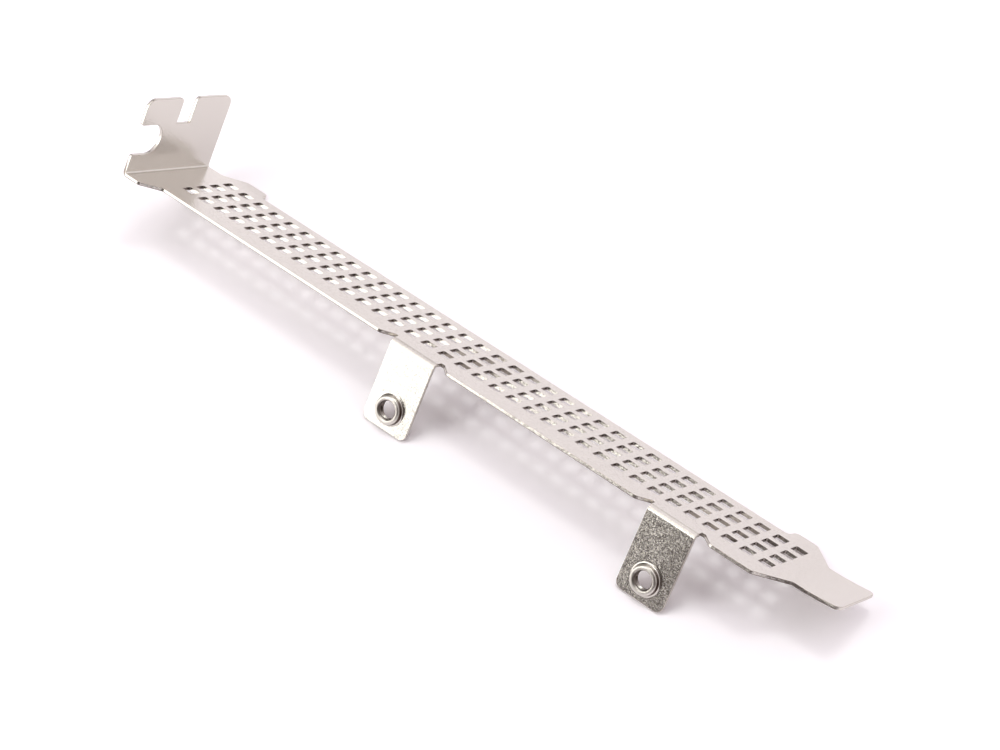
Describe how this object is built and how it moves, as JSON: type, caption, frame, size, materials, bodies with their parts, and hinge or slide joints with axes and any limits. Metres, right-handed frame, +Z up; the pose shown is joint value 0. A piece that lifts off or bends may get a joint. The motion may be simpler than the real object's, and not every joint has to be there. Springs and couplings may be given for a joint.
{
  "type": "expansion card bracket",
  "caption": "Vented sheet-metal bracket for an expansion card: notched screw flange at one end, tongue at the other, folded side tabs with threaded collars.",
  "frame": {"origin": "under the middle of the bounding box, at the level of the surface that the bracket lies on", "axes": "+X along the strip from the screw flange to the tongue, +Z up with the bracket lying on its tabs and its far edge, +Y level from the tabs towards the far edge"},
  "size_m": [0.1202, 0.0254, 0.021],
  "materials": {
    "plated_steel": "bright plated steel sheet with a satin grain"
  },
  "bodies": {
    "root": {"bracket": "plated_steel"}
  },
  "joints": []
}
